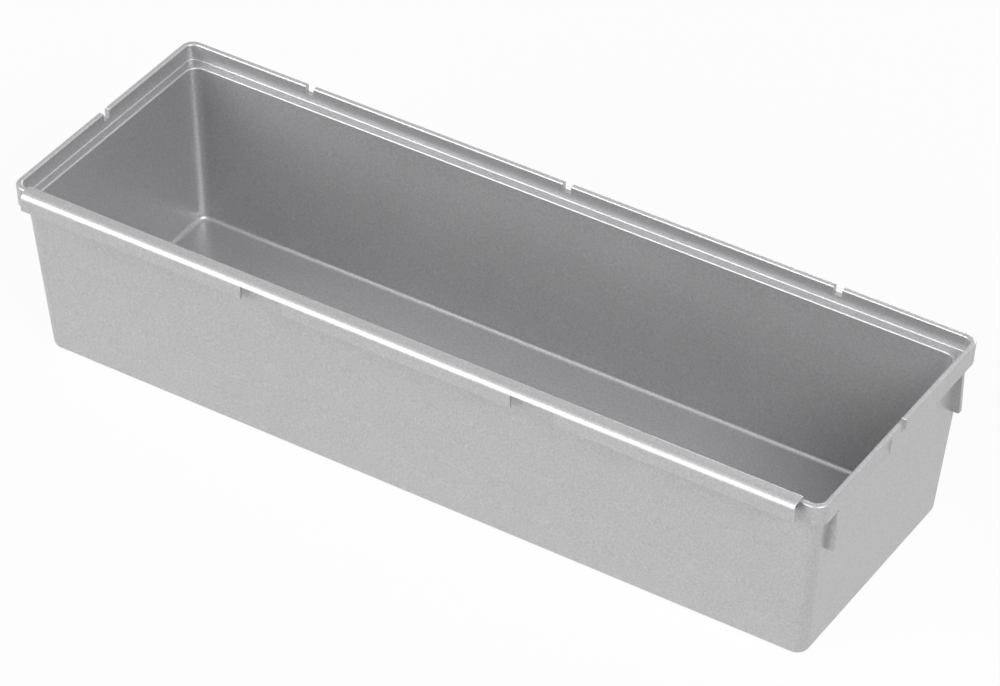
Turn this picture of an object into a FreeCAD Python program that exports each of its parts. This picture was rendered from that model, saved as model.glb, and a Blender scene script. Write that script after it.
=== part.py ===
import FreeCAD, Part
import os
import Sketcher

# Interlocking storage tray, 3 modules long and 1 module wide, in millimetres.
#
# A thin-walled moulding with tapered walls. A stepped collar stands round its mouth, with a
# ledge on the inside. One long side carries a hook rail, an inverted channel that drops over
# the collar of the next tray, so that its skirt rests in that tray's ledge. A small rib in
# the middle of each module of the rail falls into a notch in the other tray's collar and
# locates it. The frame has its origin at the centre of the underside: +X runs along the
# length, +Y across the tray away from the hook rail, and +Z points up.

DIMENSIONS = [
    # overall
    ("module_pitch", 76.2, "length of one module, centre to centre of neighbouring notches"),
    ("rim_length", 228.4, "collar, outside, along X"),
    ("rim_width", 76.0, "collar, outside, along Y"),
    ("rim_height", 50.8, "top of the plain collar above the underside"),
    # collar and ledge
    ("rim_thick", 1.55, "wall of the standing part of the collar, at its top"),
    ("rim_corner", 3.4, "outer corner radius of the collar in plan"),
    ("rim_inner_corner", 2.4, "inner corner radius of the standing part of the collar in plan"),
    ("rim_round", 0.6, "rounding of the collar's top edges"),
    ("collar_drop", 6.1, "underside of the collar below its top"),
    ("collar_draft", 0.3, "how far the collar's outer face leans in from its top to its underside"),
    ("ledge_depth", 4.7, "ledge below the top of the collar"),
    ("ledge_width", 2.5, "ledge, from the collar to the edge of the hollow"),
    ("ledge_round", 0.5, "rounding of the ledge's two edges"),
    # tapered shell
    ("wall_thick", 2.2, "side and end walls"),
    ("floor_thick", 1.6, "floor"),
    ("side_taper", 2.9, "how far each long wall leans in from the shoulder to the foot"),
    ("end_taper", 3.6, "how far each end wall leans in from the shoulder to the foot"),
    ("shoulder_corner", 3.4, "outer corner radius of the walls at the shoulder, in plan"),
    ("foot_corner", 3.2, "outer corner radius of the walls at the foot, in plan"),
    ("mouth_corner", 3.2, "inner corner radius at the ledge, in plan"),
    ("floor_corner", 2.8, "inner corner radius at the floor, in plan"),
    ("foot_round", 1.9, "rounding of the outer bottom edge"),
    ("floor_round", 1.5, "fillet between the floor and the walls, inside"),
    # notches in the collar
    ("notch_width", 2.4, "notch, along the collar"),
    ("notch_depth", 2.4, "notch, below the top of the collar"),
    # hook rail
    ("rail_gap_left", 4.9, "plain collar left between the rail and the -X end"),
    ("rail_gap_right", 5.9, "plain collar left between the rail and the +X end"),
    ("hook_plate", 0.85, "top plate of the rail, which lies level on the next tray's collar"),
    ("hook_channel", 1.85, "clear width of the channel"),
    ("skirt_thick", 0.8, "skirt that hangs from the outer edge of the plate"),
    ("hook_round", 2.0, "outer top edge of the rail"),
    ("nose_depth", 1.5, "full-length outer edge of the rail, measured from its top"),
    ("skirt_gap", 11.8, "gap between two skirts, centred on a module boundary"),
    ("skirt_clearance", 0.3, "skirt to the ledge of the next tray"),
    ("rib_clearance", 0.15, "locating rib to the notch, each side and below"),
    # supports and recessed panel on the +X end
    ("fin_thick", 1.1, "support fin under the collar"),
    ("fin_height", 11.8, "support fin, below the collar"),
    ("fin_inset_front", 6.3, "middle of the -Y fin to the outside of the long wall"),
    ("fin_inset_back", 5.6, "middle of the +Y fin to the outside of the long wall"),
    ("panel_depth", 0.5, "panel on the end of the collar, behind the collar's outline"),
    ("panel_length", 25.0, "panel, along Y"),
    ("panel_start", 5.5, "panel's nearer edge to the middle of the end"),
    ("panel_margin", 1.2, "top of the collar left whole above the panel"),
]

MODULES = 3
SIDES = ("left", "middle", "right")

doc = FreeCAD.newDocument("StorageTray")
sheet = doc.addObject("Spreadsheet::Sheet", "Dimensions")
for row, (alias, value, note) in enumerate(DIMENSIONS, start=1):
    sheet.set(f"A{row}", alias)
    sheet.set(f"B{row}", str(value))
    sheet.set(f"C{row}", note)
    sheet.setAlias(f"B{row}", alias)
doc.recompute()


def cells(expression):
    """Writes each alias in an expression as a reference to its cell in the sheet."""
    words = expression
    for alias in sorted((name for name, _, _ in DIMENSIONS), key=len, reverse=True):
        words = words.replace(f"<{alias}>", f"Dimensions.{alias}")
    return words


# Sizes that several sub-parts share, worked out from the sheet.
HALF_RIM_LENGTH = "(<rim_length> / 2)"
HALF_RIM_WIDTH = "(<rim_width> / 2)"
SHOULDER_HEIGHT = "(<rim_height> - <collar_drop>)"
LEDGE_HEIGHT = "(<rim_height> - <ledge_depth>)"
SHELF_LEAN = "((<collar_drop> - <ledge_depth>) / (<rim_height> - <collar_drop>))"
SHELF_WIDTH = "(<rim_thick> + <ledge_width> - <wall_thick>)"
END_STEP = f"({SHELF_WIDTH} + <end_taper> * {SHELF_LEAN})"
SIDE_STEP = f"({SHELF_WIDTH} + <side_taper> * {SHELF_LEAN})"
RAIL_START = f"(<rail_gap_left> - {HALF_RIM_LENGTH})"
RAIL_END = f"({HALF_RIM_LENGTH} - <rail_gap_right>)"
RAIL_TOP = "(<rim_height> + <hook_plate>)"
SKIRT_INNER = f"({HALF_RIM_WIDTH} + <hook_channel>)"
SKIRT_OUTER = f"({SKIRT_INNER} + <skirt_thick>)"
NOSE_BOTTOM = f"({RAIL_TOP} - <nose_depth>)"
NOSE_BLANK = f"({RAIL_TOP} - <hook_round> - <skirt_thick>)"
SKIRT_BOTTOM = f"({LEDGE_HEIGHT} + <skirt_clearance>)"


def origin_plane(body, role):
    """Returns one of a body's own origin planes."""
    return next(feature for feature in body.Origin.OriginFeatures if feature.Role == role)


def new_body(label):
    """Adds an empty body, which is one sub-part."""
    body = doc.addObject("PartDesign::Body", label)
    body.Label = label
    return body


def new_sketch(body, name, role, offset="0"):
    """Adds a sketch on a body's origin plane, moved off it by an expression."""
    sketch = body.newObject("Sketcher::SketchObject", name)
    sketch.AttachmentSupport = [(origin_plane(body, role), "")]
    sketch.MapMode = "FlatFace"
    sketch.setExpression("AttachmentOffset.Base.z", cells(offset))
    return sketch


def set_point(sketch, geometry, end, across, up):
    """Ties one end of a line to two coordinates in the sketch, each an expression."""
    for kind, expression in (("DistanceX", across), ("DistanceY", up)):
        index = sketch.addConstraint(Sketcher.Constraint(kind, -1, 1, geometry, end, 1.0))
        sketch.setExpression(f"Constraints[{index}]", cells(expression))


def draw_polygon(sketch, corners):
    """Adds a closed polygon, whose corners are pairs of expressions, to a sketch."""
    first = sketch.GeometryCount
    count = len(corners)
    for index in range(count):
        start = FreeCAD.Vector(index, index % 2, 0)
        end = FreeCAD.Vector(index + 1, (index + 1) % 2, 0)
        sketch.addGeometry(Part.LineSegment(start, end), False)
    for index, (across, up) in enumerate(corners):
        this = first + index
        following = first + (index + 1) % count
        sketch.addConstraint(Sketcher.Constraint("Coincident", this, 2, following, 1))
        set_point(sketch, this, 1, across, up)


def draw_rectangle(sketch, left, right, low, high):
    """Adds a rectangle between four expressions to a sketch."""
    draw_polygon(sketch, [(left, low), (right, low), (right, high), (left, high)])


def draw_rounded_rectangle(sketch, half_length, half_width, radius):
    """Draws a centred rectangle with rounded corners, sizes given as expressions."""
    lines = []
    for across, up in ((1, -1), (1, 1), (-1, 1), (-1, -1)):
        start = FreeCAD.Vector(40 * across, 20 * up, 0)
        turn = FreeCAD.Vector(-20 * up, 40 * across, 0)
        lines.append((start, start + turn.normalize() * 10))
    for start, end in lines:
        sketch.addGeometry(Part.LineSegment(start, end), False)
    straight_x = f"({half_length} - {radius})"
    straight_y = f"({half_width} - {radius})"
    ends = [
        ((f"{half_length}", f"-{straight_y}"), (f"{half_length}", straight_y)),
        ((straight_x, f"{half_width}"), (f"-{straight_x}", f"{half_width}")),
        ((f"-{half_length}", straight_y), (f"-{half_length}", f"-{straight_y}")),
        ((f"-{straight_x}", f"-{half_width}"), (straight_x, f"-{half_width}")),
    ]
    for index, (start, end) in enumerate(ends):
        set_point(sketch, index, 1, *start)
        set_point(sketch, index, 2, *end)
    doc.recompute()
    for index in range(4):
        following = (index + 1) % 4
        start = sketch.getPoint(index, 2)
        end = sketch.getPoint(following, 1)
        corner = FreeCAD.Vector(
            start.x if index % 2 == 0 else end.x, start.y if index % 2 else end.y, 0
        )
        centre = start + end - corner
        middle = centre + (corner - centre).normalize() * (start - centre).Length
        arc = sketch.addGeometry(Part.Arc(start, middle, end), False)
        first, last = (1, 2) if (sketch.getPoint(arc, 1) - start).Length < 1e-6 else (2, 1)
        sketch.addConstraint(Sketcher.Constraint("Tangent", arc, first, index, 2))
        sketch.addConstraint(Sketcher.Constraint("Coincident", arc, last, following, 1))


def add_pad(body, sketch, length):
    """Pads a sketch by an expression."""
    pad = body.newObject("PartDesign::Pad", f"{sketch.Name}_pad")
    pad.Profile = sketch
    pad.setExpression("Length", cells(length))
    sketch.Visibility = False
    doc.recompute()
    return pad


def add_pocket(body, sketch, depth):
    """Cuts a sketch out of a body, towards +Z, and checks that it removed material."""
    before = body.Shape.Volume
    pocket = body.newObject("PartDesign::Pocket", f"{sketch.Name}_pocket")
    pocket.Profile = sketch
    pocket.Reversed = True
    pocket.setExpression("Length", cells(depth))
    doc.recompute()
    if pocket.Shape.Volume >= before:
        raise ValueError(f"{pocket.Name} cuts nothing")
    return pocket


def add_loft(body, kind, lower, upper):
    """Lofts down from one sketch to another with straight rulings, as a boss or a cut."""
    loft = body.newObject(f"PartDesign::{kind}", f"{lower.Name}_loft")
    loft.Profile = upper
    loft.Sections = [lower]
    loft.Ruled = True
    doc.recompute()
    return loft


def add_fillet(body, radius, wanted):
    """Rounds the edges of a body's last feature that a test picks out."""
    base = body.Tip
    names = [
        f"Edge{index}" for index, edge in enumerate(base.Shape.Edges, start=1) if wanted(edge)
    ]
    if not names:
        raise ValueError(f"{body.Label} has no edge to round")
    fillet = body.newObject("PartDesign::Fillet", f"{body.Label}_round")
    fillet.Base = (base, names)
    fillet.setExpression("Radius", cells(radius))
    doc.recompute()
    return fillet


def size(alias):
    """Reads one driving dimension from the sheet."""
    return float(sheet.get(alias))


def level(edge, height):
    """Says whether an edge lies flat at a height."""
    box = edge.BoundBox
    return abs(box.ZMin - height) < 1e-4 and abs(box.ZMax - height) < 1e-4


def draw_outer_walls(body):
    """Adds the plan outlines of the walls' outside at the foot and at the shoulder."""
    half_length = f"({HALF_RIM_LENGTH} - {END_STEP})"
    half_width = f"({HALF_RIM_WIDTH} - {SIDE_STEP})"
    foot = new_sketch(body, f"{body.Label}_foot", "XY_Plane")
    draw_rounded_rectangle(
        foot,
        f"({half_length} - <end_taper>)",
        f"({half_width} - <side_taper>)",
        "<foot_corner>",
    )
    shoulder = new_sketch(body, f"{body.Label}_shoulder", "XY_Plane", SHOULDER_HEIGHT)
    draw_rounded_rectangle(shoulder, half_length, half_width, "<shoulder_corner>")
    return foot, shoulder


def cut_cavity(body):
    """Cuts the tapered hollow, from the floor up to the ledge, out of a body."""
    half_length = f"({HALF_RIM_LENGTH} - <rim_thick> - <ledge_width>)"
    half_width = f"({HALF_RIM_WIDTH} - <rim_thick> - <ledge_width>)"
    lean = f"({LEDGE_HEIGHT} - <floor_thick>) / {SHOULDER_HEIGHT}"
    floor = new_sketch(body, f"{body.Label}_floor", "XY_Plane", "<floor_thick>")
    draw_rounded_rectangle(
        floor,
        f"({half_length} - <end_taper> * {lean})",
        f"({half_width} - <side_taper> * {lean})",
        "<floor_corner>",
    )
    mouth = new_sketch(body, f"{body.Label}_mouth", "XY_Plane", LEDGE_HEIGHT)
    draw_rounded_rectangle(mouth, half_length, half_width, "<mouth_corner>")
    return add_loft(body, "SubtractiveLoft", floor, mouth)


def make_tray_shell():
    """The floor and the four tapered walls, up to the shoulder under the collar."""
    body = new_body("tray_shell")
    foot, shoulder = draw_outer_walls(body)
    add_loft(body, "AdditiveLoft", foot, shoulder)
    add_fillet(body, "<foot_round>", lambda edge: level(edge, 0.0))
    cut_cavity(body)
    add_fillet(body, "<floor_round>", lambda edge: level(edge, size("floor_thick")))
    return body


def make_rim_collar():
    """The collar: a shelf on the shoulder, and the plain wall that stands on its edge."""
    body = new_body("rim_collar")
    underside = new_sketch(body, "collar_underside", "XY_Plane", SHOULDER_HEIGHT)
    draw_rounded_rectangle(
        underside,
        f"({HALF_RIM_LENGTH} - <collar_draft>)",
        f"({HALF_RIM_WIDTH} - <collar_draft>)",
        "<rim_corner>",
    )
    top = new_sketch(body, "collar_top", "XY_Plane", "<rim_height>")
    draw_rounded_rectangle(top, HALF_RIM_LENGTH, HALF_RIM_WIDTH, "<rim_corner>")
    add_loft(body, "AdditiveLoft", underside, top)

    well = new_sketch(body, "collar_well", "XY_Plane", LEDGE_HEIGHT)
    draw_rounded_rectangle(
        well,
        f"({HALF_RIM_LENGTH} - <rim_thick>)",
        f"({HALF_RIM_WIDTH} - <rim_thick>)",
        "<rim_inner_corner>",
    )
    add_pocket(body, well, "<ledge_depth>")
    cut_cavity(body)

    rim_height = size("rim_height")
    ledge_height = rim_height - size("ledge_depth")
    add_fillet(body, "<rim_round>", lambda edge: level(edge, rim_height))
    add_fillet(body, "<ledge_round>", lambda edge: level(edge, ledge_height))

    notches = new_sketch(body, "rim_notches", "XY_Plane", "(<rim_height> - <notch_depth>)")
    make_notches(notches)
    add_pocket(body, notches, "<notch_depth>")

    seat = new_sketch(body, "rail_seat", "XY_Plane", LEDGE_HEIGHT)
    draw_rectangle(
        seat,
        RAIL_START,
        RAIL_END,
        f"-{HALF_RIM_WIDTH} - <rim_thick>",
        f"-({HALF_RIM_WIDTH} - <rim_thick>)",
    )
    add_pocket(body, seat, "<ledge_depth>")

    panel = new_sketch(body, "end_panel", "YZ_Plane", f"{HALF_RIM_LENGTH} - <panel_depth>")
    draw_rectangle(
        panel,
        "-(<panel_start> + <panel_length>)",
        "-<panel_start>",
        SHOULDER_HEIGHT,
        "(<rim_height> - <panel_margin>)",
    )
    add_pocket(body, panel, "<panel_depth>")
    return body


def make_notches(sketch):
    """Draws the notches: one per module on the plain long side, and one on each end."""
    half_notch = "<notch_width> / 2"
    outside = f"{HALF_RIM_WIDTH} + <rim_thick>"
    inside = f"{HALF_RIM_WIDTH} - 2 * <rim_thick>"
    rectangles = []
    for module in range(MODULES):
        centre = f"({module - (MODULES - 1) / 2} * <module_pitch>)"
        rectangles.append(
            (f"{centre} - {half_notch}", f"{centre} + {half_notch}", inside, outside)
        )
    outer_end = f"({HALF_RIM_LENGTH} + <rim_thick>)"
    inner_end = f"({HALF_RIM_LENGTH} - 2 * <rim_thick>)"
    rectangles.append((inner_end, outer_end, f"-{half_notch}", half_notch))
    rectangles.append((f"-{outer_end}", f"-{inner_end}", f"-{half_notch}", half_notch))
    for left, right, low, high in rectangles:
        draw_rectangle(sketch, left, right, low, high)


def make_hook_rail():
    """The inverted channel: inner leg, top plate and full-length rounded nose."""
    body = new_body("hook_rail")
    inner = f"-({HALF_RIM_WIDTH} - <rim_thick>)"
    foot_draft = "<collar_draft> * <ledge_depth> / <collar_drop>"
    section = new_sketch(body, "rail_section", "YZ_Plane", RAIL_START)
    draw_polygon(
        section,
        [
            (inner, LEDGE_HEIGHT),
            (inner, RAIL_TOP),
            (f"-{SKIRT_OUTER}", RAIL_TOP),
            (f"-{SKIRT_OUTER}", NOSE_BLANK),
            (f"-{SKIRT_INNER}", NOSE_BLANK),
            (f"-{SKIRT_INNER}", "<rim_height>"),
            (f"-{HALF_RIM_WIDTH}", "<rim_height>"),
            (f"-({HALF_RIM_WIDTH} - {foot_draft})", LEDGE_HEIGHT),
        ],
    )
    add_pad(body, section, f"{RAIL_END} - {RAIL_START}")

    rail_top = size("rim_height") + size("hook_plate")
    inner_edge = -(size("rim_width") / 2 - size("rim_thick"))
    outer_edge = -(size("rim_width") / 2 + size("hook_channel") + size("skirt_thick"))

    def on_line(edge, across):
        """Says whether an edge runs along X at the rail's top, at a place across it."""
        box = edge.BoundBox
        flat = level(edge, rail_top) and box.XLength > 1.0
        return flat and abs(box.YMin - across) < 1e-4 and abs(box.YMax - across) < 1e-4

    add_fillet(body, "<hook_round>", lambda edge: on_line(edge, outer_edge))
    add_fillet(body, "<rim_round>", lambda edge: on_line(edge, inner_edge))

    trim = new_sketch(body, "nose_trim", "XY_Plane", NOSE_BLANK)
    draw_rectangle(trim, RAIL_START, RAIL_END, f"-{SKIRT_OUTER}", f"-{SKIRT_INNER}")
    add_pocket(body, trim, f"{NOSE_BOTTOM} - {NOSE_BLANK}")
    return body


def place(thing, across_x, across_y, up):
    """Ties an object's position to three expressions."""
    for axis, expression in zip("xyz", (across_x, across_y, up)):
        thing.setExpression(f"Placement.Base.{axis}", cells(expression))


def make_block(label, sizes, corner):
    """Adds a box with its sizes and its lowest corner given as expressions."""
    block = doc.addObject("Part::Box", label)
    block.Label = label
    for name, expression in zip(("Length", "Width", "Height"), sizes):
        block.setExpression(name, cells(expression))
    place(block, *corner)
    return block


def make_skirts():
    """The skirts that hang from the rail's nose, with a gap at each module boundary."""
    cuts = [RAIL_START]
    for boundary in range(1, MODULES):
        centre = f"({boundary - MODULES / 2} * <module_pitch>)"
        cuts += [f"({centre} - <skirt_gap> / 2)", f"({centre} + <skirt_gap> / 2)"]
    cuts.append(RAIL_END)
    skirts = []
    for side, start, end in zip(SIDES, cuts[0::2], cuts[1::2]):
        sizes = (f"{end} - {start}", "<skirt_thick>", f"{NOSE_BOTTOM} - {SKIRT_BOTTOM}")
        corner = (start, f"-{SKIRT_OUTER}", SKIRT_BOTTOM)
        skirts.append(make_block(f"skirt_{side}", sizes, corner))
    return skirts


def make_locating_ribs():
    """The ribs in the channel, one per module, that fall into another tray's notches."""
    width = "(<notch_width> - 2 * <rib_clearance>)"
    drop = "(<notch_depth> - <rib_clearance>)"
    ribs = []
    for module, side in enumerate(SIDES):
        centre = f"({module - (MODULES - 1) / 2} * <module_pitch>)"
        corner = (f"{centre} - {width} / 2", f"-{SKIRT_INNER}", f"<rim_height> - {drop}")
        ribs.append(make_block(f"locating_rib_{side}", (width, "<hook_channel>", drop), corner))
    return ribs


def make_end_fins():
    """The two upright fins that carry the collar on the +X end."""
    fins = []
    reach = f"({END_STEP} + <end_taper> + <wall_thick>)"
    for label, side, inset in (
        ("end_fin_front", "-", "<fin_inset_front>"),
        ("end_fin_back", "", "<fin_inset_back>"),
    ):
        body = new_body(label)
        outline = new_sketch(body, f"{label}_side", "XY_Plane", f"{SHOULDER_HEIGHT} - <fin_height>")
        middle = f"{side}({HALF_RIM_WIDTH} - {SIDE_STEP} - {inset})"
        draw_rectangle(
            outline,
            f"{HALF_RIM_LENGTH} - {reach}",
            f"{HALF_RIM_LENGTH} - <collar_draft>",
            f"{middle} - <fin_thick> / 2",
            f"{middle} + <fin_thick> / 2",
        )
        add_pad(body, outline, "<fin_height>")
        foot, shoulder = draw_outer_walls(body)
        add_loft(body, "SubtractiveLoft", foot, shoulder)
        fins.append(body)
    return fins


def check(sub_part):
    """Stops the build if a sub-part failed to compute or isn't sound closed solids."""
    shape = sub_part.Shape
    if shape.isNull() or not shape.isValid() or not shape.Solids:
        raise ValueError(f"{sub_part.Label} has no valid shape")
    if shape.Volume <= 0:
        raise ValueError(f"{sub_part.Label} has no volume")


sub_parts = [make_tray_shell(), make_rim_collar(), make_hook_rail()]
sub_parts += make_skirts()
sub_parts += make_locating_ribs()
sub_parts += make_end_fins()
doc.recompute()

for item in doc.Objects:
    if "Invalid" in item.State or "Error" in item.State:
        raise ValueError(f"{item.Label} is in a failed state: {item.State}")
for sub_part in sub_parts:
    check(sub_part)

os.makedirs("parts", exist_ok=True)
for sub_part in sub_parts:
    sub_part.Shape.exportStep(f"parts/{sub_part.Label}.step")
    box = sub_part.Shape.BoundBox
    print(
        f"{sub_part.Label}: {len(sub_part.Shape.Solids)} solid, {sub_part.Shape.Volume:.1f} mm3, "
        f"x {box.XMin:.2f} to {box.XMax:.2f}, y {box.YMin:.2f} to {box.YMax:.2f}, "
        f"z {box.ZMin:.2f} to {box.ZMax:.2f}"
    )
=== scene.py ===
"""Looks of an interlocking drawer tray: one satin silver moulding on a pale studio floor.

Everything is in metres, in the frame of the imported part. The origin is the centre of the flat
underside, +X runs along the tray towards the end with the two fins, +Y runs across it away from
the hook rail, and +Z points up.
"""

import logging
import math
from dataclasses import dataclass, field
from enum import Enum
from typing import Any, Callable, Mapping, Optional, Sequence, Union

import bmesh
import bpy
from mathutils import Matrix, Vector

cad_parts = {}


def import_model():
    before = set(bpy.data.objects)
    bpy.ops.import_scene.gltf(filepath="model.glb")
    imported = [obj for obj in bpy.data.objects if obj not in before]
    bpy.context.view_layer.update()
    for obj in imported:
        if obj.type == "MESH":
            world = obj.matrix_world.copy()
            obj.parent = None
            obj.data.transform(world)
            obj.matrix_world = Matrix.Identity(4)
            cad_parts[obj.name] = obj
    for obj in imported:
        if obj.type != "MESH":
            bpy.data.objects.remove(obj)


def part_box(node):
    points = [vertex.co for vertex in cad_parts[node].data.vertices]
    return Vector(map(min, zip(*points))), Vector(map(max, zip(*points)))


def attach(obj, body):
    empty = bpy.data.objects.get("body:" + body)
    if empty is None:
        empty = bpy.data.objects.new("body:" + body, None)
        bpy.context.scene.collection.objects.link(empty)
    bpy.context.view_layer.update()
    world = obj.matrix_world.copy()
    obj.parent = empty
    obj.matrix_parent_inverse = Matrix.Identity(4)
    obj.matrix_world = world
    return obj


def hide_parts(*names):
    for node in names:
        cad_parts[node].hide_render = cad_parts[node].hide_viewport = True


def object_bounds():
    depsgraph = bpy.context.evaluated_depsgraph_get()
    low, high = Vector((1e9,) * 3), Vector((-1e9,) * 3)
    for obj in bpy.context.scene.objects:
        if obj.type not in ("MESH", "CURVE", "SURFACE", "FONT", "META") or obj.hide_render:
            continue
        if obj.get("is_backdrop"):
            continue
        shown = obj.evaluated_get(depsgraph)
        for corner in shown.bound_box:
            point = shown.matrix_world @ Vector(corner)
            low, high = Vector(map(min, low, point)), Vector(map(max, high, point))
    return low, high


LOG = logging.getLogger("drawer_tray")
MM = 0.001
BODY = "root"
WHITE = (1.0, 1.0, 1.0, 1.0)
QUARTER_TURN = math.pi / 2.0
CORNER_STEPS = 14
ROUND_STEPS = 6
EDGE_STEPS = 3
SMALLEST_CORNER = 0.2 * MM
SAME_PLACE = 0.001 * MM

Colour = tuple[float, float, float]
Point = tuple[float, float]
Box = tuple[Vector, Vector]


class Signal:
    """An output socket whose arithmetic operators add Math nodes to its own graph."""

    def __init__(self, graph: "NodeGraph", socket: bpy.types.NodeSocket) -> None:
        """Keeps the socket and the graph that it belongs to."""
        self.graph = graph
        self.socket = socket

    def _math(self, operation: str, first: "Operand", second: "Operand") -> "Signal":
        """Adds one Math node.

        Args:
            operation: The Math node's operation.
            first: Value or signal on its first input.
            second: Value or signal on its second input.

        Returns:
            The node's result.
        """
        settings = {"operation": operation}
        return self.graph.node("ShaderNodeMath", settings, {0: first, 1: second})["Value"]

    def __add__(self, other: "Operand") -> "Signal":
        """Signal plus a value or a signal."""
        return self._math("ADD", self, other)

    def __radd__(self, other: "Operand") -> "Signal":
        """Value plus a signal."""
        return self._math("ADD", other, self)

    def __sub__(self, other: "Operand") -> "Signal":
        """Signal minus a value or a signal."""
        return self._math("SUBTRACT", self, other)

    def __rsub__(self, other: "Operand") -> "Signal":
        """Value minus a signal."""
        return self._math("SUBTRACT", other, self)

    def __mul__(self, other: "Operand") -> "Signal":
        """Signal times a value or a signal."""
        return self._math("MULTIPLY", self, other)

    def __rmul__(self, other: "Operand") -> "Signal":
        """Value times a signal."""
        return self._math("MULTIPLY", other, self)


Operand = Union[float, Signal]
Socketable = Union[float, Sequence[float], Signal]


class PlacedNode:
    """A node in a graph, whose outputs are read by name as signals."""

    def __init__(self, graph: "NodeGraph", node: bpy.types.Node) -> None:
        """Keeps the node and its graph."""
        self.graph = graph
        self.node = node

    def __getitem__(self, output: Union[str, int]) -> Signal:
        """The named or numbered output as a signal."""
        return Signal(self.graph, self.node.outputs[output])


class NodeGraph:
    """A node tree that is filled through one method."""

    def __init__(self, tree: bpy.types.NodeTree) -> None:
        """Empties the tree, so that it holds only what is added here."""
        self.tree = tree
        self.tree.nodes.clear()

    def node(
        self,
        kind: str,
        settings: Optional[Mapping[str, Any]] = None,
        inputs: Optional[Mapping[Union[str, int], Socketable]] = None,
    ) -> PlacedNode:
        """Adds a node.

        Args:
            kind: Blender's name of the node's type.
            settings: The node's properties, such as a Math node's operation, set first.
            inputs: Values or signals for its inputs, by name or number.

        Returns:
            The node, with its outputs as signals.
        """
        made = self.tree.nodes.new(kind)
        for key, value in (settings or {}).items():
            setattr(made, key, value)
        for key, value in (inputs or {}).items():
            if isinstance(value, Signal):
                self.tree.links.new(value.socket, made.inputs[key])
            else:
                made.inputs[key].default_value = value
        return PlacedNode(self, made)

    def unevenness(self, size: float, octaves: float) -> Signal:
        """Noise about zero, between -0.5 and 0.5, fixed to the piece.

        Args:
            size: Size of its features, in metres.
            octaves: How many finer layers it has.

        Returns:
            The noise.
        """
        place = self.node("ShaderNodeTexCoord")["Object"]
        inputs = {"Vector": place, "Scale": 1.0 / size, "Detail": octaves}
        return self.node("ShaderNodeTexNoise", inputs=inputs)["Fac"] - 0.5

    def shaded(self, colour: Colour, shade: Signal) -> Signal:
        """A colour made lighter or darker.

        Args:
            colour: The colour.
            shade: What it is multiplied by.

        Returns:
            The shaded colour.
        """
        inputs = {"Vector": colour, "Scale": shade}
        return self.node("ShaderNodeVectorMath", {"operation": "SCALE"}, inputs)["Vector"]

    def backdrop_rays(self) -> Signal:
        """One for rays from the camera or by way of a reflection or clear surface, else zero."""
        rays = self.node("ShaderNodeLightPath")
        return rays["Is Camera Ray"] + rays["Is Glossy Ray"] + rays["Is Transmission Ray"]


@dataclass(frozen=True)
class SatinSilver:
    """Silver-grey plastic with fine metal flake, satin from a lightly textured mould.

    The lengths are those of the real surface: the grain of the mould's texture, the speckle of
    the flake, its flow mottling, and the broad unevenness of the gloss. Each depth is the most
    that its unevenness adds or takes away.
    """

    name: str = "satin_silver_plastic"
    colour: Colour = (0.46, 0.46, 0.468)
    metallic: float = 0.55
    roughness: float = 0.38
    grain_size: float = 0.30 * MM
    grain_octaves: float = 2.0
    grain_height: float = 0.006 * MM
    flake_size: float = 0.5 * MM
    flake_octaves: float = 1.0
    flake_depth: float = 0.26
    mottle_size: float = 9.0 * MM
    mottle_octaves: float = 3.0
    mottle_depth: float = 0.035
    gloss_size: float = 26.0 * MM
    gloss_octaves: float = 2.0
    gloss_depth: float = 0.05

    def build(self) -> bpy.types.Material:
        """Makes the material.

        Returns:
            The material, ready to be put in a mesh's slot.
        """
        material = bpy.data.materials.new(self.name)
        material.use_nodes = True
        graph = NodeGraph(material.node_tree)
        mottle = graph.unevenness(self.mottle_size, self.mottle_octaves)
        flake = graph.unevenness(self.flake_size, self.flake_octaves)
        gloss = graph.unevenness(self.gloss_size, self.gloss_octaves)
        grain = graph.unevenness(self.grain_size, self.grain_octaves)
        mottle_shade = 1.0 + mottle * (2.0 * self.mottle_depth)
        flake_shade = 1.0 + flake * (2.0 * self.flake_depth)
        relief = {"Strength": 1.0, "Distance": self.grain_height, "Height": grain}
        finish = {
            "Base Color": graph.shaded(self.colour, mottle_shade * flake_shade),
            "Metallic": self.metallic,
            "Roughness": self.roughness + gloss * (2.0 * self.gloss_depth),
            "Normal": graph.node("ShaderNodeBump", inputs=relief)["Normal"],
        }
        surface = graph.node("ShaderNodeBsdfPrincipled", inputs=finish)["BSDF"]
        graph.node("ShaderNodeOutputMaterial", inputs={"Surface": surface})
        return material


@dataclass(frozen=True)
class PaleFloor:
    """Pale studio floor that shows white to the camera and keeps a faint contact shadow."""

    name: str = "pale_floor"
    colour: Colour = (0.86, 0.86, 0.86)
    speckle_size: float = 12.0 * MM
    speckle_octaves: float = 2.0
    speckle_depth: float = 0.01
    glow: float = 0.94

    def build(self) -> bpy.types.Material:
        """Makes the material.

        Returns:
            The floor's material.
        """
        material = bpy.data.materials.new(self.name)
        material.use_nodes = True
        graph = NodeGraph(material.node_tree)
        speckle = graph.unevenness(self.speckle_size, self.speckle_octaves)
        tint = graph.shaded(self.colour, 1.0 + speckle * (2.0 * self.speckle_depth))
        paper = graph.node("ShaderNodeBsdfDiffuse", inputs={"Color": tint})["BSDF"]
        white = graph.node("ShaderNodeEmission", inputs={"Strength": 1.0})["Emission"]
        share = graph.backdrop_rays() * self.glow
        surface = graph.node("ShaderNodeMixShader", inputs={0: share, 1: paper, 2: white})
        graph.node("ShaderNodeOutputMaterial", inputs={"Surface": surface["Shader"]})
        return material


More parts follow.
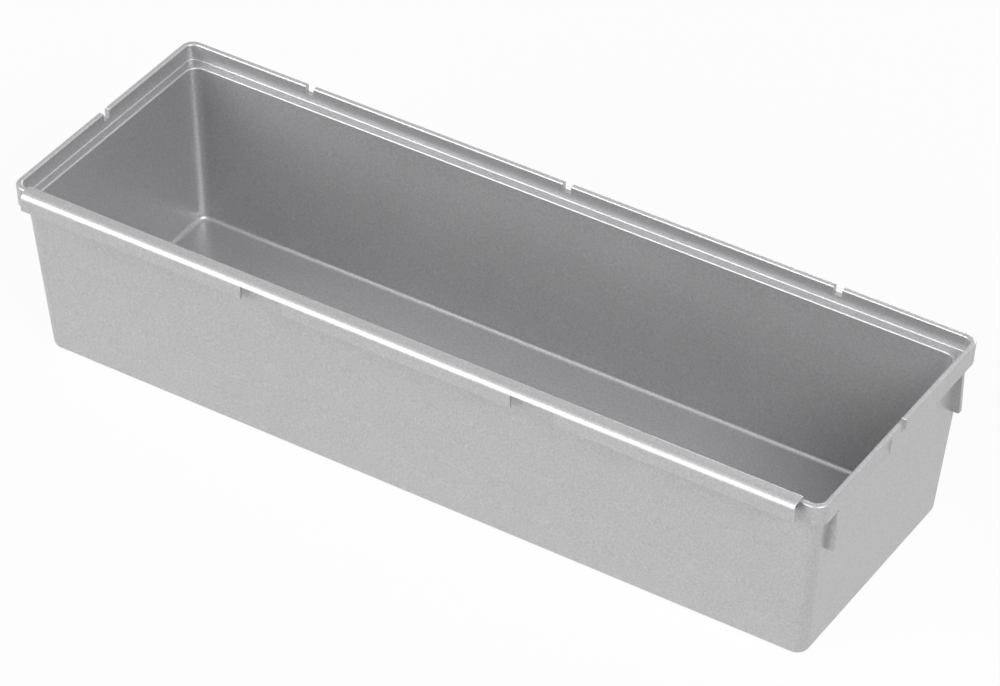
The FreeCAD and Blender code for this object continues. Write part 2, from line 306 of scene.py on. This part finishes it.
@dataclass(frozen=True)
class Outline:
    """A rounded rectangle in plan, centred on the origin."""

    half_length: float
    half_width: float
    corner: float

    def grown(self, amount: float) -> "Outline":
        """The outline moved out by an amount all round, or in where that is negative."""
        return Outline(
            self.half_length + amount,
            self.half_width + amount,
            max(self.corner + amount, SMALLEST_CORNER),
        )

    def ring(self, height: float) -> list[Vector]:
        """Its points at a height, anticlockwise from the +X side.

        Args:
            height: Height of the points.

        Returns:
            The points, with as many in each corner.
        """
        points = []
        for turn, (side_x, side_y) in enumerate(((1, 1), (-1, 1), (-1, -1), (1, -1))):
            centre_x = side_x * (self.half_length - self.corner)
            centre_y = side_y * (self.half_width - self.corner)
            for step in range(CORNER_STEPS + 1):
                angle = math.radians(90.0 * (turn + step / CORNER_STEPS))
                x = centre_x + self.corner * math.cos(angle)
                y = centre_y + self.corner * math.sin(angle)
                points.append(Vector((x, y, height)))
        return points


@dataclass(frozen=True)
class Wall:
    """One leaning surface that runs all round the tray, given at two heights."""

    low: Outline
    low_height: float
    high: Outline
    high_height: float

    def at(self, height: float) -> Outline:
        """The wall's outline at a height, also past its two ends."""
        share = (height - self.low_height) / (self.high_height - self.low_height)
        return Outline(
            self.low.half_length + share * (self.high.half_length - self.low.half_length),
            self.low.half_width + share * (self.high.half_width - self.low.half_width),
            self.low.corner + share * (self.high.corner - self.low.corner),
        )

    @property
    def lean(self) -> float:
        """Mean angle from the vertical.

        Returns:
            The angle, in radians.
        """
        rise = self.high_height - self.low_height
        run = self.high.half_length - self.low.half_length
        run += self.high.half_width - self.low.half_width
        return math.atan(run / 2.0 / rise)


@dataclass
class TrayFrame:
    """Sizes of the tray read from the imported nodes, with the few that their boxes hide."""

    side_taper: float = 2.9 * MM
    end_taper: float = 3.6 * MM
    floor_thickness: float = 1.6 * MM
    ledge_width: float = 2.5 * MM
    foot_corner: float = 3.2 * MM
    shoulder_corner: float = 3.4 * MM
    floor_corner: float = 2.8 * MM
    mouth_corner: float = 3.2 * MM
    rim_corner: float = 3.4 * MM
    rim_inner_corner: float = 2.4 * MM
    shell: Box = field(default_factory=lambda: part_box("tray_shell"))
    collar: Box = field(default_factory=lambda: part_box("rim_collar"))
    rail: Box = field(default_factory=lambda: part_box("hook_rail"))

    @property
    def shoulder_height(self) -> float:
        """Underside of the collar."""
        return self.collar[0].z

    @property
    def rim_height(self) -> float:
        """Top of the plain collar."""
        return self.collar[1].z

    @property
    def ledge_height(self) -> float:
        """Top of the ledge inside the collar, where the rail's foot stands."""
        return self.rail[0].z

    @property
    def rim_thickness(self) -> float:
        """Wall of the standing part of the collar."""
        return self.collar[1].y + self.rail[1].y

    @property
    def collar_draft(self) -> float:
        """How far the collar's outer face leans in; the fins end at its underside."""
        return self.collar[1].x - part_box("end_fin_front")[1].x

    @property
    def rim(self) -> Outline:
        """Outside of the collar at its top."""
        return Outline(self.collar[1].x, self.collar[1].y, self.rim_corner)

    @property
    def well(self) -> Outline:
        """Inside of the collar."""
        inside = self.rim.grown(-self.rim_thickness)
        return Outline(inside.half_length, inside.half_width, self.rim_inner_corner)

    @property
    def outer_wall(self) -> Wall:
        """Outside of the four walls.

        Returns:
            The surface, from the underside to the shoulder.
        """
        shoulder = Outline(self.shell[1].x, self.shell[1].y, self.shoulder_corner)
        foot = Outline(
            shoulder.half_length - self.end_taper,
            shoulder.half_width - self.side_taper,
            self.foot_corner,
        )
        return Wall(foot, 0.0, shoulder, self.shoulder_height)

    @property
    def inner_wall(self) -> Wall:
        """Inside of the four walls.

        Returns:
            The surface, from the floor to the ledge.
        """
        step = self.rim_thickness + self.ledge_width
        mouth = Outline(
            self.rim.half_length - step, self.rim.half_width - step, self.mouth_corner
        )
        share = (self.ledge_height - self.floor_thickness) / self.shoulder_height
        floor = Outline(
            mouth.half_length - self.end_taper * share,
            mouth.half_width - self.side_taper * share,
            self.floor_corner,
        )
        return Wall(floor, self.floor_thickness, mouth, self.ledge_height)


class Module(Enum):
    """The three modules of the tray's length, each with its own skirt and rib."""

    LEFT = "left"
    MIDDLE = "middle"
    RIGHT = "right"


class Flank(Enum):
    """The two long sides, which each have a fin near the +X end."""

    FRONT = "front"
    BACK = "back"


class Sculptor:
    """Turns outlines and profiles into finished pieces of the tray."""

    SHARP_ANGLE = math.radians(38.0)
    FLATS_WEIGHT = 100

    def __init__(self, material: bpy.types.Material) -> None:
        """Keeps the finish that every piece gets."""
        self.material = material

    def finish(self, name: str, shape: bmesh.types.BMesh, *nodes: str) -> bpy.types.Object:
        """Makes a piece from a shape.

        Args:
            name: The piece's name.
            shape: Its surface; it is freed here.
            *nodes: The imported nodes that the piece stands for.

        Returns:
            The piece, riding on the tray's body.
        """
        bmesh.ops.recalc_face_normals(shape, faces=shape.faces)
        mesh = bpy.data.meshes.new(name)
        shape.to_mesh(mesh)
        shape.free()
        mesh.materials.append(self.material)
        piece = bpy.data.objects.new(name, mesh)
        bpy.context.scene.collection.objects.link(piece)
        self.shade(piece)
        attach(piece, BODY)
        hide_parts(*nodes)
        LOG.info("%s: %d faces, stands for %s", name, len(mesh.polygons), ", ".join(nodes))
        return piece

    def shade(self, piece: bpy.types.Object) -> None:
        """Shades a piece smoothly across its rounds and flat on its flats.

        Args:
            piece: The piece.
        """
        mesh = piece.data
        mesh.shade_smooth()
        mesh.set_sharp_from_angle(angle=self.SHARP_ANGLE)
        if "flats" not in piece.modifiers:
            flats = piece.modifiers.new("flats", "WEIGHTED_NORMAL")
            flats.keep_sharp = True
            flats.weight = self.FLATS_WEIGHT

    @staticmethod
    def loft(rings: Sequence[Sequence[Vector]], closed: bool = False) -> bmesh.types.BMesh:
        """Joins rings of as many points each with quads.

        Args:
            rings: The rings in order.
            closed: Joins the last ring to the first; otherwise both ends are capped.

        Returns:
            The surface.
        """
        shape = bmesh.new()
        loops = [[shape.verts.new(point) for point in ring] for ring in rings]
        pairs = list(zip(loops, loops[1:]))
        if closed:
            pairs.append((loops[-1], loops[0]))
        else:
            shape.faces.new(loops[0])
            shape.faces.new(loops[-1])
        count = len(loops[0])
        for lower, upper in pairs:
            for index in range(count):
                after = (index + 1) % count
                shape.faces.new((lower[index], lower[after], upper[after], upper[index]))
        return shape

    @staticmethod
    def prism(profile: Sequence[Point], along: str, start: float, end: float) -> bmesh.types.BMesh:
        """Extrudes a closed profile along an axis.

        Args:
            profile: Corners of the profile, in the two other axes in their usual order.
            along: The axis, "x", "y" or "z".
            start: Where the prism starts on it.
            end: Where the prism ends on it.

        Returns:
            The closed prism.
        """
        axis = "xyz".index(along)
        ends = []
        shape = bmesh.new()
        for place in (start, end):
            ring = []
            for first, second in profile:
                coordinates = [first, second]
                coordinates.insert(axis, place)
                ring.append(shape.verts.new(coordinates))
            ends.append(ring)
            shape.faces.new(ring)
        count = len(profile)
        for index in range(count):
            after = (index + 1) % count
            shape.faces.new((ends[0][index], ends[0][after], ends[1][after], ends[1][index]))
        bmesh.ops.recalc_face_normals(shape, faces=shape.faces)
        return shape

    def soften(
        self,
        shape: bmesh.types.BMesh,
        radius: float,
        wanted: Callable[[Vector, Vector], bool],
    ) -> None:
        """Rounds a shape's sharp edges.

        Args:
            shape: The shape, changed in place.
            radius: Radius of the rounds.
            wanted: Says from an edge's two ends whether it is rounded.
        """
        edges = [
            edge
            for edge in shape.edges
            if edge.calc_face_angle(0.0) > self.SHARP_ANGLE
            and wanted(edge.verts[0].co, edge.verts[1].co)
        ]
        bmesh.ops.bevel(
            shape,
            geom=edges,
            offset=radius,
            segments=EDGE_STEPS,
            profile=0.5,
            affect="EDGES",
            clamp_overlap=True,
        )

    def cut(self, piece: bpy.types.Object, cutters: Sequence[bmesh.types.BMesh]) -> None:
        """Cuts shapes out of a piece, which keeps its finish.

        Args:
            piece: The piece.
            cutters: What is cut out; each is freed here.
        """
        for number, cutter in enumerate(cutters):
            mesh = bpy.data.meshes.new(f"cutter_{number}")
            cutter.to_mesh(mesh)
            cutter.free()
            tool = bpy.data.objects.new(mesh.name, mesh)
            bpy.context.scene.collection.objects.link(tool)
            modifier = piece.modifiers.new(tool.name, "BOOLEAN")
            modifier.operation = "DIFFERENCE"
            modifier.solver = "EXACT"
            modifier.object = tool
        for modifier in piece.modifiers:
            modifier.show_viewport = modifier.type == "BOOLEAN"
        graph = bpy.context.evaluated_depsgraph_get()
        cut_mesh = bpy.data.meshes.new_from_object(piece.evaluated_get(graph))
        tools = [m.object for m in piece.modifiers if m.type == "BOOLEAN"]
        piece.modifiers.clear()
        piece.data = cut_mesh
        for tool in tools:
            bpy.data.objects.remove(tool)
        self.shade(piece)


def arc(centre: Point, radius: float, start: float, end: float) -> list[Point]:
    """Points of an arc in a profile.

    Args:
        centre: Its centre.
        radius: Its radius.
        start: Angle of its first point, in degrees.
        end: Angle of its last point, in degrees.

    Returns:
        The points in order, both ends included.
    """
    points = []
    for step in range(ROUND_STEPS + 1):
        angle = math.radians(start + (end - start) * step / ROUND_STEPS)
        points.append(
            (centre[0] + radius * math.cos(angle), centre[1] + radius * math.sin(angle))
        )
    return points


@dataclass
class TrayShell:
    """Floor and four tapered walls, one skin with its inner and outer sides."""

    frame: TrayFrame
    foot_round: float = 1.9 * MM
    floor_round: float = 1.5 * MM
    ledge_round: float = 0.5 * MM
    embed: float = 0.5 * MM

    def build(self, sculptor: Sculptor) -> bpy.types.Object:
        """Makes the shell.

        Args:
            sculptor: What makes its mesh into a piece.

        Returns:
            The finished piece.
        """
        rings = [*self._inside(), *self._outside()]
        return sculptor.finish("shell", sculptor.loft(rings), "tray_shell")

    def _inside(self) -> list[list[Vector]]:
        """Inner side of the walls.

        Returns:
            Rings from the edge of the floor up to the middle of the ledge, and into the collar.
        """
        wall = self.frame.inner_wall
        lean = wall.lean
        floor = self.frame.floor_thickness
        inset = self.floor_round * (math.tan(lean) - 1.0 / math.cos(lean))
        rings = []
        for step in range(ROUND_STEPS + 1):
            angle = (QUARTER_TURN - lean) * step / ROUND_STEPS
            height = floor + self.floor_round * (1.0 - math.cos(angle))
            offset = inset + self.floor_round * math.sin(angle)
            rings.append(wall.low.grown(offset).ring(height))
        ledge = self.frame.ledge_height
        for step in range(ROUND_STEPS + 1):
            angle = lean + (QUARTER_TURN - lean) * step / ROUND_STEPS
            height = ledge - self.ledge_round * (1.0 - math.sin(angle))
            offset = self.ledge_round * (1.0 / math.cos(lean) - math.cos(angle))
            rings.append(wall.high.grown(offset).ring(height))
        middle = wall.high.grown(self.frame.ledge_width / 2.0)
        rings.append(middle.ring(ledge))
        rings.append(middle.ring(self.frame.shoulder_height + self.embed))
        return rings

    def _outside(self) -> list[list[Vector]]:
        """Outer side of the walls.

        Returns:
            Rings from inside the collar down to the edge of the underside.
        """
        wall = self.frame.outer_wall
        top = self.frame.shoulder_height + self.embed
        rings = [wall.at(top).ring(top)]
        lean = wall.lean
        inset = self.foot_round * (1.0 - math.sin(lean)) / math.cos(lean)
        for step in range(ROUND_STEPS + 1):
            angle = -lean - (QUARTER_TURN - lean) * step / ROUND_STEPS
            height = self.foot_round * (1.0 + math.sin(angle))
            offset = self.foot_round * math.cos(angle) - inset
            rings.append(wall.low.grown(offset).ring(height))
        return rings


@dataclass
class RimCollar:
    """The shelf round the walls' shoulder and the collar that stands on it, with notches."""

    frame: TrayFrame
    rim_round: float = 0.6 * MM
    foot_fillet: float = 0.4 * MM
    skirting_round: float = 0.3 * MM
    notch_width: float = 2.4 * MM
    notch_depth: float = 2.4 * MM
    notch_flare: float = 0.3 * MM
    notch_reach: float = 1.5
    module_pitch: float = 76.2 * MM
    backing: float = 0.4 * MM
    panel_depth: float = 0.5 * MM
    panel_length: float = 25.0 * MM
    panel_start: float = 5.5 * MM
    panel_margin: float = 1.2 * MM
    panel_round: float = 0.3 * MM

    def build(self, sculptor: Sculptor) -> bpy.types.Object:
        """Makes the collar, and cuts its notches and the panel on its +X end.

        Args:
            sculptor: What makes its mesh into a piece.

        Returns:
            The finished piece.
        """
        piece = sculptor.finish("collar", sculptor.loft(self._rings(), True), "rim_collar")
        sculptor.cut(piece, [*self._notches(sculptor), self._panel(sculptor)])
        return piece

    def _rings(self) -> list[list[Vector]]:
        """The whole surface of the collar before it is cut.

        Returns:
            Rings from the middle of the ledge over the collar and back under it.
        """
        frame = self.frame
        ledge, top, under = frame.ledge_height, frame.rim_height, frame.shoulder_height
        outside, inside = frame.rim, frame.well
        lower = outside.grown(-frame.collar_draft)
        round_, small, fillet = self.rim_round, self.skirting_round, self.foot_fillet
        middle = frame.inner_wall.high.grown(frame.ledge_width / 2.0)
        rings = [middle.ring(ledge)]
        for offset, height in arc((-fillet, ledge + fillet), fillet, -90.0, 0.0):
            rings.append(inside.grown(offset).ring(height))
        for offset, height in arc((round_, top - round_), round_, 180.0, 90.0):
            rings.append(inside.grown(offset).ring(height))
        for offset, height in arc((-round_, top - round_), round_, 90.0, 0.0):
            rings.append(outside.grown(offset).ring(height))
        for offset, height in arc((-small, under + small), small, 0.0, -90.0):
            rings.append(lower.grown(offset).ring(height))
        wall = frame.outer_wall.at(under)
        for offset, height in arc((small, under - small), small, 90.0, 180.0):
            rings.append(wall.grown(offset).ring(height))
        backing = wall.grown(-self.backing)
        rings.append(backing.ring(under - small))
        rings.append(backing.ring(under + small))
        rings.append(middle.ring(under + small))
        return rings

    def _notch_profile(self, centre: float) -> list[Point]:
        """Profile of a notch, square at the bottom and flared at the top.

        Args:
            centre: Middle of the notch along the collar.

        Returns:
            Corners of the profile, which reaches above the collar.
        """
        half, flare = self.notch_width / 2.0, self.notch_flare
        top = self.frame.rim_height
        bottom = top - self.notch_depth
        left = arc((centre - half - flare, top - flare), flare, 90.0, 0.0)
        right = arc((centre + half + flare, top - flare), flare, 180.0, 90.0)
        above = top + self.notch_depth
        foot = [(centre - half, bottom), (centre + half, bottom)]
        sides = [(right[-1][0], above), (left[0][0], above)]
        return [*left, *foot, *right, *sides]

    def _notches(self, sculptor: Sculptor) -> list[bmesh.types.BMesh]:
        """What is cut out of the plain long side and of both ends, through the wall.

        Args:
            sculptor: What makes the shapes.

        Returns:
            One shape for each notch.
        """
        wall = self.frame.rim_thickness
        inward = self.notch_reach * wall
        far, end = self.frame.rim.half_width, self.frame.rim.half_length
        middle = (len(Module) - 1) / 2.0
        cutters = []
        for number, _ in enumerate(Module):
            profile = self._notch_profile((number - middle) * self.module_pitch)
            cutters.append(sculptor.prism(profile, "y", far - inward, far + wall))
        for start, stop in ((end - inward, end + wall), (-end - wall, inward - end)):
            cutters.append(sculptor.prism(self._notch_profile(0.0), "x", start, stop))
        return cutters

    def _panel(self, sculptor: Sculptor) -> bmesh.types.BMesh:
        """What is cut out of the +X end for the shallow panel.

        Args:
            sculptor: What makes the shape.

        Returns:
            The shape.
        """
        end = self.frame.rim.half_length
        top = self.frame.rim_height - self.panel_margin
        foot = self.frame.shoulder_height - 2.0 * self.skirting_round
        far, near = -self.panel_start - self.panel_length, -self.panel_start
        profile = [(far, foot), (near, foot), (near, top), (far, top)]
        bed = end - self.panel_depth
        shape = sculptor.prism(profile, "x", bed, end + self.panel_depth)

        def on_bed(start: Vector, finish: Vector) -> bool:
            """Whether an edge runs round the panel's bed."""
            return max(start.x, finish.x) < bed + SAME_PLACE

        sculptor.soften(shape, self.panel_round, on_bed)
        return shape


@dataclass
class HookRail:
    """The raised rail with its rounded nose, the skirts below it and the ribs inside it."""

    frame: TrayFrame
    nose_round: float = 2.0 * MM
    rim_round: float = 0.6 * MM
    end_round: float = 0.25 * MM
    skirt_round: float = 0.2 * MM

    def build(self, sculptor: Sculptor) -> list[bpy.types.Object]:
        """Makes the rail, the skirts and the ribs.

        Args:
            sculptor: What makes their meshes into pieces.

        Returns:
            The finished pieces.
        """
        pieces = [self._rail(sculptor)]
        for module in Module:
            pieces.append(self._skirt(sculptor, module))
            pieces.append(self._rib(sculptor, module))
        return pieces

    def _nose(self, outer: float, start: float, end: float) -> list[Point]:
        """Part of the nose's round, from one height to another.

        Args:
            outer: Outside of the skirts.
            start: Height of the first point.
            end: Height of the last point.

        Returns:
            The points in the plane across the rail.
        """
        nose = self.nose_round
        height = self.frame.rail[1].z - nose
        turns = []
        for level in (start, end):
            rise = min((level - height) / nose, 1.0)
            turns.append(180.0 - math.degrees(math.asin(rise)))
        return arc((outer + nose, height), nose, *turns)

    def _rail(self, sculptor: Sculptor) -> bpy.types.Object:
        """The plate, its nose, and its foot in the top of the collar.

        Args:
            sculptor: What makes its mesh into a piece.

        Returns:
            The finished rail.
        """
        low, high = self.frame.rail
        skirt_low, skirt_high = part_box("skirt_middle")
        inner, top = high.y, high.z
        nose_foot = skirt_high.z
        skirt_inner = skirt_high.y
        plate_foot = self.frame.rim_height
        collar_face = self.frame.collar[0].y
        base = plate_foot - self.rim_round
        rim = self.rim_round
        profile = [
            (inner, base),
            *arc((inner - rim, top - rim), rim, 0.0, 90.0),
            *self._nose(skirt_low.y, top, nose_foot),
            (skirt_inner, nose_foot),
            (skirt_inner, plate_foot),
            (collar_face, plate_foot),
            (collar_face, base),
        ]
        shape = sculptor.prism(profile, "x", low.x, high.x)

        def on_end(start: Vector, end: Vector) -> bool:
            """Whether an edge lies on one of the rail's ends, above its foot."""
            flat = abs(start.x - end.x) < SAME_PLACE
            return flat and max(start.z, end.z) > base + SAME_PLACE

        sculptor.soften(shape, self.end_round, on_end)
        return sculptor.finish("hook_rail_moulded", shape, "hook_rail")

    def _skirt(self, sculptor: Sculptor, module: Module) -> bpy.types.Object:
        """One skirt, whose top carries on the round of the rail's nose.

        Args:
            sculptor: What makes its mesh into a piece.
            module: The module that it hangs in.

        Returns:
            The finished skirt.
        """
        low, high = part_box(f"skirt_{module.value}")
        springing = self.frame.rail[1].z - self.nose_round
        profile = [
            (high.y, low.z),
            (high.y, high.z),
            *self._nose(low.y, high.z, springing),
            (low.y, low.z),
        ]
        shape = sculptor.prism(profile, "x", low.x, high.x)

        def below_top(start: Vector, end: Vector) -> bool:
            """Whether an edge isn't part of the skirt's top face."""
            return min(start.z, end.z) < high.z - SAME_PLACE

        sculptor.soften(shape, self.skirt_round, below_top)
        name = f"skirt_{module.value}"
        return sculptor.finish(f"{name}_moulded", shape, name)

    def _rib(self, sculptor: Sculptor, module: Module) -> bpy.types.Object:
        """One locating rib in the channel.

        Args:
            sculptor: What makes its mesh into a piece.
            module: The module that it is in the middle of.

        Returns:
            The finished rib.
        """
        low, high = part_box(f"locating_rib_{module.value}")
        profile = [(low.x, low.y), (high.x, low.y), (high.x, high.y), (low.x, high.y)]
        shape = sculptor.prism(profile, "z", low.z, high.z)

        def at_foot(start: Vector, end: Vector) -> bool:
            """Whether an edge is part of the rib's lower face."""
            return max(start.z, end.z) < high.z - SAME_PLACE

        sculptor.soften(shape, self.skirt_round, at_foot)
        name = f"locating_rib_{module.value}"
        return sculptor.finish(f"{name}_moulded", shape, name)


@dataclass
class EndFins:
    """The two upright fins that carry the collar on the +X end."""

    frame: TrayFrame
    fin_round: float = 0.2 * MM
    toe_round: float = 0.8 * MM
    embed: float = 0.6 * MM

    def build(self, sculptor: Sculptor) -> list[bpy.types.Object]:
        """Makes both fins.

        Args:
            sculptor: What makes their meshes into pieces.

        Returns:
            The finished pieces.
        """
        return [self._fin(sculptor, flank) for flank in Flank]

    def _fin(self, sculptor: Sculptor, flank: Flank) -> bpy.types.Object:
        """One upright fin, let into the wall and the collar.

        Args:
            sculptor: What makes its mesh into a piece.
            flank: The long side that it is near.

        Returns:
            The finished fin.
        """
        name = f"end_fin_{flank.value}"
        low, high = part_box(name)
        wall = self.frame.outer_wall
        top = high.z + self.embed
        toe = self.toe_round
        profile = [
            (wall.at(low.z).half_length - self.embed, low.z),
            *arc((high.x - toe, low.z + toe), toe, -90.0, 0.0),
            (high.x, high.z),
            (high.x - self.embed, high.z),
            (high.x - self.embed, top),
            (wall.at(high.z).half_length - self.embed, top),
        ]
        shape = sculptor.prism(profile, "y", low.y, high.y)

        def outside(start: Vector, end: Vector) -> bool:
            """Whether an edge is on the fin's free outer or lower side."""
            free = max(start.x, end.x) > high.x - toe - SAME_PLACE
            return free and min(start.z, end.z) < high.z - SAME_PLACE

        sculptor.soften(shape, self.fin_round, outside)
        return sculptor.finish(f"{name}_moulded", shape, name)


@dataclass(frozen=True)
class Softbox:
    """A soft rectangular studio lamp that points at the tray; degrees, metres and watts."""

    name: str
    azimuth: float
    elevation: float
    distance: float
    width: float
    height: float
    power: float

    def build(self, aim: Vector) -> None:
        """Makes the lamp.

        Args:
            aim: The point that it faces.
        """
        lamp = bpy.data.lights.new(self.name, "AREA")
        lamp.shape = "RECTANGLE"
        lamp.size = self.width
        lamp.size_y = self.height
        lamp.energy = self.power
        holder = bpy.data.objects.new(self.name, lamp)
        towards = direction(self.azimuth, self.elevation)
        holder.location = aim + towards * self.distance
        holder.rotation_mode = "QUATERNION"
        holder.rotation_quaternion = towards.to_track_quat("Z", "Y")
        bpy.context.scene.collection.objects.link(holder)


def direction(azimuth: float, elevation: float) -> Vector:
    """Unit vector from the tray towards a viewer or a lamp.

    Args:
        azimuth: Degrees round from the near side (-Y) towards the +X end.
        elevation: Degrees above the horizon.

    Returns:
        The vector.
    """
    turn, tilt = math.radians(azimuth), math.radians(elevation)
    flat = math.cos(tilt)
    return Vector((flat * math.sin(turn), -flat * math.cos(turn), math.sin(tilt)))


@dataclass(frozen=True)
class Viewpoint:
    """The camera: a long lens that looks down along the tray from its near right corner.

    The angles are in degrees, the lens in millimetres and the distances in metres.
    """

    azimuth: float = 31.933
    elevation: float = 37.919
    roll: float = 0.7326
    distance: float = 1.18244
    lens: float = 178.647
    aim_offset: tuple[float, float, float] = (13.570 * MM, -14.031 * MM, 15.440 * MM)
    nearest: float = 0.05
    farthest: float = 20.0

    def build(self, centre: Vector) -> None:
        """Makes the camera and gives it to the scene.

        Args:
            centre: Centre of the tray's box.
        """
        back = direction(self.azimuth, self.elevation)
        level_right = (-back).cross(Vector((0.0, 0.0, 1.0))).normalized()
        level_up = level_right.cross(-back)
        roll = math.radians(self.roll)
        right = level_right * math.cos(roll) + level_up * math.sin(roll)
        up = level_up * math.cos(roll) - level_right * math.sin(roll)
        camera = bpy.data.cameras.new("studio_camera")
        camera.lens = self.lens
        camera.clip_start = self.nearest
        camera.clip_end = self.farthest
        holder = bpy.data.objects.new("studio_camera", camera)
        place = centre + Vector(self.aim_offset) + back * self.distance
        turn = Matrix((right, up, back)).transposed().to_4x4()
        holder.matrix_world = Matrix.Translation(place) @ turn
        bpy.context.scene.collection.objects.link(holder)
        bpy.context.scene.camera = holder


@dataclass
class Studio:
    """Pale floor, soft lamps and an even white surround."""

    centre: Vector
    floor_size: float = 24.0
    floor_drop: float = 0.02 * MM
    lamps: tuple[Softbox, ...] = (
        Softbox("low_key_softbox", -33.0, 21.0, 1.6, 1.25, 0.65, 18.8),
        Softbox("key_softbox", -34.0, 42.0, 1.6, 1.0, 0.6, 1.6),
        Softbox("high_key_softbox", -37.0, 60.0, 1.6, 1.0, 0.7, 0.4),
        Softbox("side_softbox", 66.0, 42.0, 1.6, 0.9, 0.6, 16.4),
        Softbox("rear_side_softbox", 125.0, 45.0, 1.6, 1.0, 0.8, 1.5),
        Softbox("back_softbox", 180.0, 14.0, 1.6, 1.2, 0.4, 12.0),
    )

    def build(self) -> None:
        """Makes the floor, the lamps and the surround."""
        self._floor()
        for lamp in self.lamps:
            lamp.build(self.centre)
        self._world()
        bpy.context.scene.view_settings.view_transform = "Standard"

    def _floor(self) -> None:
        """Makes the floor, a hair below the tray so that no faces coincide."""
        half, level = self.floor_size / 2.0, -self.floor_drop
        mesh = bpy.data.meshes.new("studio_floor")
        plan = ((-half, -half), (half, -half), (half, half), (-half, half))
        corners = [(x, y, level) for x, y in plan]
        mesh.from_pydata(corners, [], [(0, 1, 2, 3)])
        mesh.materials.append(PaleFloor().build())
        floor = bpy.data.objects.new("studio_floor", mesh)
        bpy.context.scene.collection.objects.link(floor)
        floor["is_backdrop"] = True

    def _world(self) -> None:
        """Makes the surround, which shows white to the camera and in reflections."""
        world = bpy.data.worlds.new("studio_surround")
        bpy.context.scene.world = world
        world.use_nodes = True
        graph = NodeGraph(world.node_tree)
        inputs = {"Color": WHITE, "Strength": graph.backdrop_rays()}
        background = graph.node("ShaderNodeBackground", inputs=inputs)["Background"]
        graph.node("ShaderNodeOutputWorld", inputs={"Surface": background})


def main() -> None:
    """Builds the tray's pieces, the studio and the camera."""
    logging.basicConfig(level=logging.INFO, format="%(name)s: %(message)s")
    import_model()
    cad_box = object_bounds()
    frame = TrayFrame()
    sculptor = Sculptor(SatinSilver().build())
    pieces = [TrayShell(frame).build(sculptor), RimCollar(frame).build(sculptor)]
    pieces += HookRail(frame).build(sculptor)
    pieces += EndFins(frame).build(sculptor)
    LOG.info("%d pieces built", len(pieces))
    centre = (cad_box[0] + cad_box[1]) / 2.0
    Studio(centre).build()
    Viewpoint().build(centre)


if __name__ == "__main__":
    main()
